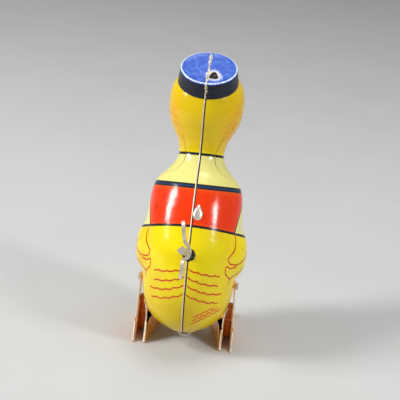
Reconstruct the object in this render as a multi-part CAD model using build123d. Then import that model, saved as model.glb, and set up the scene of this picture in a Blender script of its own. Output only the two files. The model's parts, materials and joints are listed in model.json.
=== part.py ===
"""Wind-up hopping chick in lithographed tinplate, about 98 mm tall.

Row frame: millimetres, +Z up, the chick faces +Y, the ground is Z = 0 and X = 0 is its plane of symmetry.
Body frame: x to the chick's right, h along the leaning body axis, r out through the back towards the key.
Body parts are made in the body frame (x, h, r) and placed by stand(); feet are made standing on the ground.
"""
from build123d import *
from math import atan2, cos, degrees, hypot, pi, radians, sin, sqrt
import os

# ---------------------------------------------------------------- driving dimensions (mm)
LEAN = 20.0                 # body axis leans forward from the vertical, degrees
BODY_CENTRE_Z = 32.6        # widest section of the body above the ground
SHEET = 0.40                # tinplate of the two body shells
PLATE = 0.60                # sheet of the clockwork plates

# body sections: height along the axis, half width, depth to the back, depth to the front
BODY = [(-28.6, 2.8, 2.8, 2.8), (-27.4, 6.0, 6.2, 6.4), (-24.8, 9.9, 10.2, 10.8),
        (-20.4, 13.2, 13.6, 14.4), (-15.0, 15.0, 16.2, 17.0), (-11.0, 15.6, 17.2, 18.0),
        (-6.0, 16.3, 18.1, 18.9), (0.0, 17.2, 18.4, 19.2), (7.0, 17.1, 17.6, 18.6),
        (14.0, 16.5, 16.2, 17.4), (19.0, 16.0, 14.6, 16.0), (22.4, 15.2, 13.2, 14.8),
        (25.2, 13.5, 11.6, 12.9), (28.0, 10.9, 9.8, 10.6), (30.8, 8.8, 8.5, 8.9),
        (33.6, 7.9, 7.9, 8.1), (37.0, 8.3, 8.4, 8.4), (40.5, 9.9, 9.9, 9.9), (44.5, 11.9, 11.9, 11.9),
        (48.5, 12.9, 12.9, 12.9), (52.5, 13.1, 13.1, 13.1), (56.5, 12.6, 12.6, 12.6),
        (60.5, 10.7, 10.7, 10.7), (63.5, 7.5, 7.5, 7.5), (65.2, 3.4, 3.4, 3.4)]
WING_CENTRE = (14.2, 2.8, -2.0)
WING_SIZE = (5.4, 11.0, 12.0)       # half sizes of the embossed wing
HEAD_H = 52.5                       # centre of the head along the axis
CAP_TILT = 40.0                     # cap leans back from the body axis, degrees
CAP_SEAT = 8.2                      # from the centre of the head to the lower edge of the cap
CAP_HEIGHT = 5.7
CAP_LOW_RADIUS = 10.4
CAP_TOP_RADIUS = 9.9
CAP_HOLE_AT = (1.9, -4.3)           # worn hole in the top: beside the seam, behind the middle
CAP_HOLE_RADIUS = 1.2
BEAK_ROOT = 9.0
BEAK_REACH = 19.0
BEAK_RADIUS = 5.4
BEAK_TIP_RADIUS = 1.2

KEY_H = -1.0                        # winding arbor, on the seam
KEY_HOLE_RADIUS = 2.3
HIP_H = -11.0                       # hip axle, across the body
HIP_R = -1.5
HIP_RADIUS = 0.80
RUNNING = 0.05                      # radial clearance of every running fit

REAR_PLATE_R = 10.8                 # inner face of the rear plate
FRONT_PLATE_R = 1.4                 # inner face of the front plate
ARBOR_RADIUS = 1.2
BEND_R = (16.8, 23.4)               # the winding arbor is bent aside between these
BEND = (-1.75, 1.6)                 # how far its square end stands aside, x and h
OUTER_RADIUS = 1.1                  # of the bent stretch
SQUARE = 2.2                        # across the flats of its outer end
ARBOR_END_R = 28.0                  # outer end of the winding arbor
PIVOT_RADIUS = 0.6
MODULE = 0.50
GREAT_TEETH = 30
WHEEL_TEETH = 24
PINION_TEETH = 8
CRANK_AT = (11.0, -3.0)             # crank arbor, x and h
CRANK_THROW = 0.8
CRANK_PIN_RADIUS = 0.40
CRANK_DISC_RADIUS = 3.0
FORK_R = -6.5                       # the crank pin works the fork here
FORK_X = 9.2                        # middle of the rocker's arm
FORK_OPENING = 4.4                  # the pin has room at every angle of the legs
PILLARS = [(-9.0, 6.0), (-9.0, -8.0), (3.0, 10.6), (8.2, -9.4)]
KEY_BOW_R = 25.4                    # middle of the key's bow
KEY_TURN = 6.5                      # the key rests turned this far from the body axis, degrees
KEY_WIDTH = 7.0
KEY_THICKNESS = 1.0

FOOT_SHEET = 0.5
FOOT_OUTER_X = 17.5
HEEL_INNER_X = 13.1
TOE_INNER_X = 7.9
HEEL_BACK = 8.4                     # heel behind the hip axle
INNER_TOE_Y = 16.3
TOE_ROOT_Y = 20.0
TOE_LENGTH = 25.0
ANKLE_Z = 7.6                       # top of the inner wall and of the instep
HEEL_LOW_Y = -4.2                   # the heel spur starts here, under the ankle
INSTEP_Y = 3.0
EAR_RADIUS = 2.4
LEG_SLOPE = 3.6                     # the legs come closer together towards the hip, degrees
EAR_X = 16.6                        # outer face of a leg at the hip axle

BODY_PLANE = Plane(origin=(0, 0, BODY_CENTRE_Z), x_dir=(1, 0, 0),
                   z_dir=(0, -cos(radians(LEAN)), sin(radians(LEAN))))
ACROSS = Plane.YZ                   # profiles extruded along x


def stand(shape):
    """Place a body-frame shape as the chick stands."""
    return BODY_PLANE.location * shape


def row_point(h, r):
    """Row-frame y and z of a body-frame point."""
    lean = radians(LEAN)
    return h * sin(lean) - r * cos(lean), BODY_CENTRE_Z + h * cos(lean) + r * sin(lean)


def rod(radius, r_low, r_high, x=0.0, h=0.0):
    """Round bar along r."""
    return Pos(x, h, r_low) * extrude(Circle(radius), r_high - r_low)


def bar_x(radius, x_low, x_high, h, r):
    """Round bar along x."""
    return Pos(x_low, h, r) * Rot(0, 90, 0) * extrude(Circle(radius), x_high - x_low)


# ---------------------------------------------------------------- body shells
def body_solid(inset):
    """Body, wings, head, cap and beak as one closed form, its skin moved in by inset."""
    rings = []
    for h, half_width, back, front in BODY:
        height = h * (1 - inset / 30.0)
        plane = Plane(origin=(0, height, (back - front) / 2), x_dir=(1, 0, 0), z_dir=(0, 1, 0))
        rings.append(plane * Ellipse(half_width - inset, (back + front) / 2 - inset))
    form = loft(rings)
    for side in (-1, 1):
        dome = scale(Sphere(1.0), by=tuple(size - inset for size in WING_SIZE))
        form += Pos(side * WING_CENTRE[0], WING_CENTRE[1], WING_CENTRE[2]) * dome
    cap = Cone(CAP_LOW_RADIUS - inset, CAP_TOP_RADIUS - inset, CAP_HEIGHT - inset,
               align=(Align.CENTER, Align.CENTER, Align.MIN))
    form += Pos(0, HEAD_H, 0) * Rot(CAP_TILT - 90, 0, 0) * Pos(0, 0, CAP_SEAT) * cap
    beak = Cone(BEAK_RADIUS - inset, BEAK_TIP_RADIUS - inset, BEAK_REACH - BEAK_ROOT - inset,
                align=(Align.CENTER, Align.CENTER, Align.MIN))
    form += Pos(0, HEAD_H, 0) * Rot(180 + LEAN, 0, 0) * Pos(0, 0, BEAK_ROOT) * beak
    return form


def shells():
    """The two pressed halves, folded together along the seam at x = 0."""
    skin = body_solid(0.0) - body_solid(SHEET)
    skin -= rod(KEY_HOLE_RADIUS, 12, 30, 0, KEY_H)
    skin -= bar_x(HIP_RADIUS + RUNNING, -25, 25, HIP_H, HIP_R)
    room = 200.0
    right = skin & (Pos(room / 2, 0, 0) * Box(room, room, room))
    left = mirror(right, Plane.YZ)
    cap_hole = Pos(CAP_HOLE_AT[0], HEAD_H, 0) * Rot(CAP_TILT - 90, 0, 0) * Pos(0, CAP_HOLE_AT[1], CAP_SEAT)
    right -= cap_hole * Cylinder(CAP_HOLE_RADIUS, 20, align=(Align.CENTER, Align.CENTER, Align.MIN))
    return left, right


# ---------------------------------------------------------------- clockwork
def gear(teeth, thickness, bore, phase, r_low, x, h):
    """Spur wheel with straight-sided teeth; one tooth points at the angle phase, in degrees."""
    pitch_radius = teeth * MODULE / 2
    root = pitch_radius - 1.0 * MODULE
    tip = pitch_radius + 0.72 * MODULE
    step = 360 / teeth
    corners = []
    for tooth in range(teeth):
        for part_of_step, radius in ((-0.27, root), (-0.10, tip), (0.10, tip), (0.27, root)):
            angle = radians(phase + (tooth + part_of_step) * step)
            corners.append((radius * cos(angle), radius * sin(angle)))
    blank = make_face(Polyline(*corners, close=True)) - Circle(bore)
    return Pos(x, h, r_low) * extrude(blank, thickness)


def intermediate_place():
    """Where the intermediate arbor stands: both meshes close at their pitch circles."""
    first = (GREAT_TEETH + PINION_TEETH) * MODULE / 2
    second = (WHEEL_TEETH + PINION_TEETH) * MODULE / 2
    run = CRANK_AT[0]
    rise = CRANK_AT[1] - KEY_H
    span = hypot(run, rise)
    along = (first ** 2 - second ** 2 + span ** 2) / (2 * span)
    aside = sqrt(first ** 2 - along ** 2)
    x = (along * run - aside * rise) / span
    h = KEY_H + (along * rise + aside * run) / span
    return x, h


def plates():
    """Rear and front plates; the front one has two lugs bent forward that carry the hip axle."""
    low, high = -11.4, 12.8
    outline = Pos(0.2, (low + high) / 2) * RectangleRounded(23.8, high - low, 6.0)
    holes = [(0, KEY_H, ARBOR_RADIUS), (*intermediate_place(), PIVOT_RADIUS), (*CRANK_AT, PIVOT_RADIUS)]
    for x, h, radius in holes:
        outline -= Pos(x, h) * Circle(radius + RUNNING)
    for x, h in PILLARS:
        outline -= Pos(x, h) * Circle(0.8)
    rear = Pos(0, 0, REAR_PLATE_R) * extrude(outline, PLATE)
    front = Pos(0, 0, FRONT_PLATE_R - PLATE) * extrude(outline, PLATE)
    for side in (-1, 1):
        lug = Box(PLATE, 4.6, 5.4) - Pos(0, 0, -0.2) * Rot(0, 90, 0) * Cylinder(HIP_RADIUS + RUNNING, 4)
        strap = Box(3.4, 4.6, PLATE)
        front += Pos(side * 13.2, HIP_H, HIP_R + 0.2) * lug
        front += Pos(side * 11.8, HIP_H, FRONT_PLATE_R - PLATE / 2) * strap
    return rear, front


def pillars():
    """Four turned pillars, riveted over outside both plates."""
    group = []
    for x, h in PILLARS:
        post = rod(1.1, FRONT_PLATE_R, REAR_PLATE_R, x, h)
        post += rod(0.8, FRONT_PLATE_R - PLATE, REAR_PLATE_R + PLATE, x, h)
        for r_low, r_high in ((FRONT_PLATE_R - PLATE - 0.3, FRONT_PLATE_R - PLATE),
                              (REAR_PLATE_R + PLATE, REAR_PLATE_R + PLATE + 0.3)):
            post += rod(1.2, r_low, r_high, x, h)
        group.append(post)
    return Compound(group)


def mainspring():
    """Flat spiral strip: its inner end lies by the arbor, its outer end reaches the first pillar."""
    strip = 0.28
    turns = 5.5
    pillar_angle = atan2(PILLARS[0][1] - KEY_H, PILLARS[0][0])
    first_angle = pillar_angle - 2 * pi * turns
    steps = int(turns * 20)

    def at(step, side):
        part = step / steps
        angle = first_angle + part * 2 * pi * turns
        radius = 1.9 + 5.2 * part + 3.3 * max(0.0, (part - 0.94) / 0.06) ** 2
        radius += side * strip / 2
        return radius * cos(angle), KEY_H + radius * sin(angle)

    inner = Spline(*[at(step, -1) for step in range(steps + 1)])
    outer = Spline(*[at(step, 1) for step in range(steps + 1)])
    ends = [Line(at(step, -1), at(step, 1)) for step in (0, steps)]
    face = make_face([inner.edge(), outer.edge(), ends[0].edge(), ends[1].edge()])
    return Pos(0, 0, 5.7) * extrude(face, 4.4)


def ratchet_wheel():
    """Twelve saw teeth, pressed on the arbor."""
    corners = []
    for tooth in range(12):
        for radius, part_of_step in ((3.4, 0.0), (2.7, 0.08)):
            angle = radians((tooth + part_of_step) * 30)
            corners.append((radius * cos(angle), radius * sin(angle)))
    face = make_face(Polyline(*corners, close=True)) - Circle(ARBOR_RADIUS)
    return Pos(0, KEY_H, 4.75) * extrude(face, 0.45)


def click_parts():
    """Pawl, its rivet and its spring, carried round by the great wheel."""
    pivot = (-3.6, 4.4)
    tip = (-0.9, 3.45)
    pawl = make_face(Polyline((-4.2, 3.9), tip, (-0.7, 3.75), (-3.2, 5.1), close=True))
    pawl += Pos(*pivot) * Circle(0.85)
    pawl -= Pos(*pivot) * Circle(0.4)
    spring = make_face(Polyline((-6.2, 1.0), (-5.95, 1.0), (-4.75, 5.45), (-2.3, 5.2), (-2.3, 5.4),
                                (-4.9, 5.75), close=True))
    rivet = Pos(*pivot, 4.0) * Cylinder(0.4, 1.3, align=(Align.CENTER, Align.CENTER, Align.MIN))
    rivet += Pos(*pivot, 5.2) * Cylinder(0.65, 0.25, align=(Align.CENTER, Align.CENTER, Align.MIN))
    place = Pos(0, KEY_H, 0)
    return (place * Pos(0, 0, 4.7) * extrude(pawl, 0.45), place * rivet,
            place * Pos(0, 0, 4.7) * extrude(spring, 0.45))


def winding_arbor():
    """Round arbor, bent aside behind the plate, with a square outer end for the key."""
    start = Vector(0, KEY_H, BEND_R[0])
    end = Vector(BEND[0], KEY_H + BEND[1], BEND_R[1])
    arbor = rod(ARBOR_RADIUS, FRONT_PLATE_R - PLATE - 0.4, BEND_R[0], 0, KEY_H)
    arbor += Plane(origin=start, z_dir=end - start) * extrude(Circle(OUTER_RADIUS), (end - start).length)
    arbor += Pos(*start) * Sphere(OUTER_RADIUS)
    arbor += Pos(*end) * Sphere(OUTER_RADIUS)
    square = extrude(Rectangle(SQUARE, SQUARE), ARBOR_END_R - BEND_R[1])
    return arbor + Pos(*end) * Rot(0, 0, 45) * square


def winding_key():
    """One strip folded round the square of the arbor, its two ends rounded into wings."""
    path = [(0.5, 9.8), (1.0, 2.9), (2.1, 1.5), (2.6, -0.6), (1.8, -2.5), (0.4, -2.9), (-0.5, -8.9)]
    strip = None
    for start, end in zip(path, path[1:]):
        length = hypot(end[0] - start[0], end[1] - start[1])
        angle = degrees(atan2(end[1] - start[1], end[0] - start[0]))
        middle = Pos((start[0] + end[0]) / 2, (start[1] + end[1]) / 2, 0) * Rot(0, 0, angle)
        piece = middle * Box(length, KEY_THICKNESS, KEY_WIDTH)
        piece += Pos(*end, 0) * Cylinder(KEY_THICKNESS / 2, KEY_WIDTH)
        strip = piece if strip is None else strip + piece
    bow = Rectangle(9.0, 4.6)
    for side in (-1, 1):
        bow += Pos(side * 6.2, 0) * RectangleRounded(7.4, KEY_WIDTH, 3.2)
    bow = Plane.YZ * bow
    strip &= extrude(bow, 12, both=True)
    strip = Rot(0, 0, KEY_TURN) * strip - Rot(0, 0, 45) * Box(SQUARE, SQUARE, 20)
    return Pos(BEND[0], KEY_H + BEND[1], KEY_BOW_R) * strip


def train():
    """Great wheel, intermediate and crank arbors with their wheels, meshing in line."""
    x, h = intermediate_place()
    first = degrees(atan2(h - KEY_H, x))
    second = degrees(atan2(CRANK_AT[1] - h, CRANK_AT[0] - x))
    half_step = 180 / PINION_TEETH
    great = gear(GREAT_TEETH, 0.8, ARBOR_RADIUS + RUNNING, first, 3.8, 0, KEY_H)
    great -= Pos(0, KEY_H, 0) * Pos(-3.6, 4.4, 4.0) * Cylinder(0.4, 3)
    parts = {"great_wheel": great,
             "intermediate_arbor": rod(PIVOT_RADIUS, 0.4, 11.9, x, h),
             "intermediate_pinion": gear(PINION_TEETH, 1.6, PIVOT_RADIUS, first + 180 + half_step, 3.4, x, h),
             "intermediate_wheel": gear(WHEEL_TEETH, 0.6, PIVOT_RADIUS, second, 2.2, x, h),
             "crank_arbor": rod(PIVOT_RADIUS, -0.5, 11.9, *CRANK_AT),
             "crank_pinion": gear(PINION_TEETH, 1.4, PIVOT_RADIUS, second + 180 + half_step, 1.8, *CRANK_AT)}
    disc = rod(CRANK_DISC_RADIUS, -0.5, 0.3, *CRANK_AT) - rod(PIVOT_RADIUS, -2, 2, *CRANK_AT)
    parts["crank_disc"] = disc
    parts["crank_pin"] = rod(CRANK_PIN_RADIUS, -7.6, -0.5, CRANK_AT[0] + CRANK_THROW, CRANK_AT[1])
    return parts


# ---------------------------------------------------------------- legs
def rocker_lever():
    """Hub on the hip axle, arm and fork; the crank pin rocks the fork up and down."""
    hub = bar_x(1.8, FORK_X - 1.0, FORK_X + 1.0, HIP_H, HIP_R)
    profile = make_face(Polyline((HIP_H - 1.2, HIP_R - 0.9), (HIP_H + 1.0, HIP_R + 0.9), (-0.6, FORK_R + 0.3),
                                 (-0.6, FORK_R - 0.3), (-6.2, FORK_R - 0.3), close=True))
    arm = Pos(FORK_X - 0.3, 0, 0) * extrude(ACROSS * profile, 0.6)
    middle = CRANK_AT[1]
    fork = Rectangle(4.2, FORK_OPENING + 1.6) - Pos(0.8, 0) * Rectangle(4.2, FORK_OPENING)
    fork = Pos(FORK_X + 1.8, middle, FORK_R - 0.3) * extrude(fork, 0.6)
    return hub + arm + fork - bar_x(HIP_RADIUS, -20, 20, HIP_H, HIP_R)


def foot(side):
    """Folded tin foot: outer wall up to the hip, inner wall, instep and toe plate, open at the heel."""
    hip_y, hip_z = row_point(HIP_H, HIP_R)
    outer = FOOT_OUTER_X
    tall = 14.0

    def plan(inset):
        reach = HEEL_BACK + 3 * inset
        sketch = make_face(Polyline((outer - inset, -reach), (outer - inset, TOE_ROOT_Y),
                                    (TOE_INNER_X + inset, TOE_ROOT_Y), (TOE_INNER_X + inset, INNER_TOE_Y),
                                    (HEEL_INNER_X + inset, -reach), close=True))
        if inset == 0:
            width = (outer - TOE_INNER_X) / 3
            for toe, length in enumerate((TOE_LENGTH - 1.6, TOE_LENGTH, TOE_LENGTH - 1.2)):
                x = TOE_INNER_X + (toe + 0.5) * width
                sketch += Pos(x, TOE_ROOT_Y) * Ellipse(width * 0.52, length - TOE_ROOT_Y)
        return extrude(sketch, tall)

    def profile(inset):
        back = 3 * inset
        sketch = make_face(Polyline((-HEEL_BACK - back, -back), (HEEL_LOW_Y - back, ANKLE_Z - 1.2),
                                    (HEEL_LOW_Y + 0.6 - back, ANKLE_Z + back),
                                    (INSTEP_Y - inset, ANKLE_Z + back) if inset else (INSTEP_Y, ANKLE_Z),
                                    (INSTEP_Y - inset, ANKLE_Z - inset) if inset else (INSTEP_Y + 0.1, ANKLE_Z),
                                    (INNER_TOE_Y - inset, 1.5 - 0.9 * inset),
                                    (TOE_LENGTH - 9 * inset, 0.6 if not inset else 0.1),
                                    (TOE_LENGTH - 9 * inset, 0 - back), close=True))
        return extrude(ACROSS * sketch, 40)

    form = plan(0) & profile(0)
    form -= plan(FOOT_SHEET) & profile(FOOT_SHEET)
    heel_width = outer - HEEL_INNER_X - 2 * FOOT_SHEET
    heel_room = Box(heel_width, INSTEP_Y - HEEL_LOW_Y, 3.0, align=(Align.MAX, Align.MIN, Align.CENTER))
    form -= Pos(outer - FOOT_SHEET, HEEL_LOW_Y - 0.4, ANKLE_Z) * heel_room
    leg = make_face(Polyline((HEEL_LOW_Y + 0.6, ANKLE_Z - 2), (-3.4, 13.0), (-EAR_RADIUS, hip_z),
                             (EAR_RADIUS, hip_z), (4.4, 13.0), (INSTEP_Y + 1.5, ANKLE_Z - 2), close=True))
    leg += Pos(0, hip_z) * Circle(EAR_RADIUS)
    leg -= Pos(0, hip_z) * Circle(HIP_RADIUS)
    knee = Pos(outer - FOOT_SHEET, 0, ANKLE_Z)
    form += knee * Rot(0, -LEG_SLOPE, 0) * Pos(0, 0, -ANKLE_Z) * extrude(ACROSS * leg, FOOT_SHEET)
    form = Pos(0, hip_y, 0) * form
    return form if side > 0 else mirror(form, Plane.YZ)


def hip_parts():
    """Wire axle, its riveted heads outside the feet and two collars inside the lugs."""
    axle = bar_x(HIP_RADIUS, -EAR_X - 0.4, EAR_X + 0.4, HIP_H, HIP_R)
    heads = []
    collars = []
    for side in (-1, 1):
        x = side * (EAR_X + 0.55)
        heads.append(bar_x(1.3, x - 0.4, x + 0.4, HIP_H, HIP_R) - axle)
        x = side * 12.2
        collars.append(bar_x(1.7, x - 0.6, x + 0.6, HIP_H, HIP_R) - axle)
    return axle, Compound(heads), Compound(collars)


def seam_tabs():
    """Ends of the seam's folded tabs: one on the back of the vest, one under the body."""
    skin = body_solid(0.0)
    vest = Pos(1.2, 12.6, 16.4) * (scale(Cylinder(1.0, 1.4), by=(1.4, 2.3, 1.0)))
    under = Pos(0, -28.9, 0) * Box(3.0, 0.8, 2.0)
    tabs = [(tab - skin).solids().sort_by(SortBy.VOLUME)[-1] for tab in (vest, under)]
    return Compound(tabs)


# ---------------------------------------------------------------- assembly
def assemble():
    """Every node as it stands on the ground, by name."""
    left, right = shells()
    rear, front = plates()
    pawl, rivet, click_spring = click_parts()
    axle, heads, collars = hip_parts()
    body_frame_parts = {"left_body_shell": left, "right_body_shell": right, "seam_tabs": seam_tabs(),
                        "rear_plate": rear, "front_plate": front, "plate_pillars": pillars(),
                        "mainspring": mainspring(), "winding_arbor": winding_arbor(),
                        "ratchet_wheel": ratchet_wheel(), "winding_key": winding_key(),
                        "click_pawl": pawl, "click_rivet": rivet, "click_spring": click_spring,
                        "rocker_lever": rocker_lever(), "hip_axle": axle, "axle_heads": heads,
                        "axle_collars": collars}
    body_frame_parts.update(train())
    standing = {name: stand(shape) for name, shape in body_frame_parts.items()}
    standing["left_foot"] = foot(-1)
    standing["right_foot"] = foot(1)
    return standing


def main():
    """Centre the parts over the origin and write one file for each."""
    standing = assemble()
    boxes = [shape.bounding_box() for shape in standing.values()]
    middle_y = (min(box.min.Y for box in boxes) + max(box.max.Y for box in boxes)) / 2
    floor = min(box.min.Z for box in boxes)
    os.makedirs("parts", exist_ok=True)
    for name, shape in standing.items():
        export_step(Pos(0, -middle_y, -floor) * shape, f"parts/{name}.step")
    joints = {"key": (KEY_H, 0.0, 0.0), "great_wheel": (KEY_H, 0.0, 0.0),
              "intermediate": (intermediate_place()[1], 0.0, intermediate_place()[0]),
              "crank": (CRANK_AT[1], 0.0, CRANK_AT[0]), "legs": (HIP_H, HIP_R, 0.0)}
    for name, (h, r, x) in joints.items():
        y, z = row_point(h, r)
        print(f"{name}: x {x:.3f}  y {y - middle_y:.3f}  z {z - floor:.3f}")


if __name__ == "__main__":
    main()
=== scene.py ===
"""Looks of the wind-up hopping chick: lithographed tin shells, folded feet, key, floor, light and camera.

Body frame, in millimetres: x to the chick's right, h up its leaning axis, r out of its back towards the key.
to_row() turns body-frame points into the row frame, in metres.
The printed picture is held as smooth distance fields on the shells, which the materials turn into inks.
"""

import json
import math

import bpy
import numpy as np
from mathutils import Matrix, Vector
from mathutils.kdtree import KDTree


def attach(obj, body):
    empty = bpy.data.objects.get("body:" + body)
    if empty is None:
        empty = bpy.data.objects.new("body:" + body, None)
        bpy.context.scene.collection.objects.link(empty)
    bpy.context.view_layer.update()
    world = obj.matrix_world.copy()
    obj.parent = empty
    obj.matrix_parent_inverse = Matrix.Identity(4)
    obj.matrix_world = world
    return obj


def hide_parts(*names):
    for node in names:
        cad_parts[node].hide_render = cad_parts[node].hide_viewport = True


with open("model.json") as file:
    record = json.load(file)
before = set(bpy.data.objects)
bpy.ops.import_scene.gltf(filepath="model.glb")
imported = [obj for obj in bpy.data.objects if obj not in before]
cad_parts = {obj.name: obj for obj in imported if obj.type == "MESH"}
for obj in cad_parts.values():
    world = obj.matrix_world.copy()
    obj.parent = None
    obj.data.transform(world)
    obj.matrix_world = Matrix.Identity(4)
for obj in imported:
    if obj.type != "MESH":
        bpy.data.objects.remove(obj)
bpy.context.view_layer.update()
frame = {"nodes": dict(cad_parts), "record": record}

# ---------------------------------------------------------------- the body frame and the chick's outline
LEAN = math.radians(20.0)
SIDEWAYS = np.array((1.0, 0.0, 0.0))
AXIS = np.array((0.0, math.sin(LEAN), math.cos(LEAN)))
BACK = np.array((0.0, -math.cos(LEAN), math.sin(LEAN)))
KEY_H = -1.0
JOINTS = {joint["name"]: joint for joint in frame["record"]["behaviour"]["joints"]}
CENTRE = np.array(JOINTS["key_turn"]["pos_m"]) * 1000 - KEY_H * AXIS
HIP = np.array(JOINTS["legs_rock"]["pos_m"]) * 1000

# height, half width, depth to the back, depth to the front
SECTIONS = [(-28.75, 0.0, 0.0, 0.0), (-28.6, 2.8, 2.8, 2.8), (-27.4, 6.0, 6.2, 6.4),
            (-24.8, 10.4, 10.2, 10.8), (-20.4, 13.8, 13.6, 14.4), (-15.0, 15.5, 16.2, 17.0),
            (-11.0, 15.95, 17.2, 18.0), (-6.0, 16.8, 18.1, 18.9), (0.0, 17.6, 18.4, 19.2),
            (7.0, 17.1, 17.6, 18.6), (14.0, 16.5, 16.2, 17.4), (19.0, 16.0, 14.6, 16.0),
            (22.4, 15.2, 13.2, 14.8), (25.2, 13.5, 11.6, 12.9), (28.0, 10.9, 9.8, 10.6),
            (30.8, 8.8, 8.5, 8.9), (33.6, 7.9, 7.9, 8.1), (37.0, 8.3, 8.4, 8.4), (40.5, 9.9, 9.9, 9.9),
            (44.5, 11.9, 11.9, 11.9), (48.5, 12.9, 12.9, 12.9), (52.5, 13.1, 13.1, 13.1),
            (56.5, 12.6, 12.6, 12.6), (60.5, 10.7, 10.7, 10.7), (63.5, 7.5, 7.5, 7.5),
            (65.2, 3.4, 3.4, 3.4)]
GRID = 0.42                 # spacing of the shells' mesh
SHEET = 0.40
SEAM_GAP = 0.05
EDGE_RADIUS = 0.17          # rolled edge of the left shell
WING_H = -0.4               # middle of the wing, and its reach above, below and to front and back
WING_R = -1.0
WING_ABOVE = 10.0
WING_BELOW = 8.6
WING_REACH = 13.0
WING_STANDS = 1.8
TAB_X = 1.75                # middle of the tab on the vest
TAB_H = 12.9
KEY_HOLE = 2.25
KEY_HOLE_X = 0.3            # the hole is cut mostly in the right half
HEAD_H = 52.5
CAP_TILT = math.radians(40.0)
CAP_SEAT = 8.2
CAP_HEIGHT = 5.7
CAP_LOW = 10.4
CAP_TOP = 9.9
CAP_HOLE = (2.0, -4.2)      # in the right half, behind the middle
SHADE_PAINTED_ABOVE = 2.6       # the head is left unprinted this far above the cap's seat and gets the near-black inside material: painted shade under the cap


def to_row(points):
    """Body-frame points (x, h, r) in millimetres as row-frame points in metres."""
    points = np.asarray(points, float)
    placed = CENTRE + points[..., :1] * SIDEWAYS + points[..., 1:2] * AXIS + points[..., 2:3] * BACK
    return placed / 1000


def ease(value, low, high):
    """Smooth step from 0 at low to 1 at high."""
    part = np.clip((np.asarray(value, float) - low) / (high - low), 0, 1)
    return part * part * (3 - 2 * part)


def hermite(knots, values, where):
    """Smooth curve through values at knots, with slopes that never overshoot."""
    knots = np.asarray(knots, float)
    values = np.asarray(values, float)
    gaps = np.diff(knots)
    steps = np.diff(values) / gaps
    slopes = np.zeros(len(knots))
    slopes[0], slopes[-1] = steps[0], steps[-1]
    for i in range(1, len(knots) - 1):
        if steps[i - 1] * steps[i] > 0:
            before, after = 2 * gaps[i] + gaps[i - 1], gaps[i] + 2 * gaps[i - 1]
            slopes[i] = (before + after) / (before / steps[i - 1] + after / steps[i])
    i = np.clip(np.searchsorted(knots, where, side="right") - 1, 0, len(gaps) - 1)
    t = (where - knots[i]) / gaps[i]
    return ((1 + 2 * t) * (1 - t) ** 2 * values[i] + t * (1 - t) ** 2 * gaps[i] * slopes[i]
            + t * t * (3 - 2 * t) * values[i + 1] + t * t * (t - 1) * gaps[i] * slopes[i + 1])


TABLE = np.array(SECTIONS)
TRAVEL = np.concatenate(([0.0], np.cumsum(np.hypot(*np.diff(TABLE[:, :2], axis=0).T))))


def section_at(travel):
    """Height, half width, back and front depth at a distance along the outline from the bottom."""
    return [hermite(TRAVEL, TABLE[:, column], travel) for column in range(4)]


def wing_relief(h, r):
    """How far the embossed wing stands out of the side."""
    up = (h - WING_H) / np.where(h > WING_H, WING_ABOVE, WING_BELOW)
    across = (r - WING_R) / WING_REACH
    inside = 1 - up ** 2 - across ** 2
    return WING_STANDS * ease(inside / np.where(h > WING_H, 0.9, 0.85), 0.0, 1.0)


def skin(travel, angle, side):
    """Points of a shell's outer face; the angle runs from the back seam round to the front seam."""
    h, width, back, front = section_at(travel)
    x = width * np.sin(angle)
    r = (back - front) / 2 + (back + front) / 2 * np.cos(angle)
    x = x + wing_relief(h, r) * np.sin(angle) ** 2
    return np.stack([side * x, h, r], axis=-1)


def travel_at(h):
    """Distance along the outline for a height above the bottom."""
    samples = np.linspace(0, TRAVEL[-1], 2000)
    heights = section_at(samples)[0]
    return np.interp(h, heights, samples)


# ---------------------------------------------------------------- mesh helpers
def add_mesh(name, points, faces, body, replaced=(), fields=None):
    """A mesh object from row-frame points in metres, riding on a body."""
    mesh = bpy.data.meshes.new(name)
    mesh.from_pydata([tuple(point) for point in points], [], [tuple(face) for face in faces])
    for field, values in (fields or {}).items():
        attribute = mesh.attributes.new(field, "FLOAT", "POINT")
        attribute.data.foreach_set("value", np.asarray(values, np.float32))
    mesh.polygons.foreach_set("use_smooth", [True] * len(mesh.polygons))
    mesh.update()
    piece = bpy.data.objects.new(name, mesh)
    bpy.context.scene.collection.objects.link(piece)
    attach(piece, body)
    if replaced:
        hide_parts(*replaced)
    return piece


def grid_faces(rows, columns, flip=False, closed=False):
    """Quads of a grid of points stored row by row."""
    faces = []
    last = columns if closed else columns - 1
    for row in range(rows - 1):
        for column in range(last):
            following = (column + 1) % columns
            a, b = row * columns + column, row * columns + following
            c, d = b + columns, a + columns
            faces.append((a, d, c, b) if flip else (a, b, c, d))
    return faces


def tube(path, radius, around):
    """Points and faces of a round bar along a path."""
    path = np.asarray(path, float)
    ahead = np.gradient(path, axis=0)
    ahead /= np.linalg.norm(ahead, axis=1)[:, None]
    points = []
    for spot, direction in zip(path, ahead):
        sideways = np.cross(direction, (1.0, 0.0, 0.0))
        if np.linalg.norm(sideways) < 0.1:
            sideways = np.cross(direction, (0.0, 1.0, 0.0))
        sideways /= np.linalg.norm(sideways)
        other = np.cross(direction, sideways)
        for step in range(around):
            turn = 2 * math.pi * step / around
            points.append(spot + radius * (math.cos(turn) * sideways + math.sin(turn) * other))
    faces = grid_faces(len(path), around, closed=True)
    faces.append(tuple(range(around)))
    faces.append(tuple(reversed(range((len(path) - 1) * around, len(path) * around))))
    return np.array(points), faces


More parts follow.
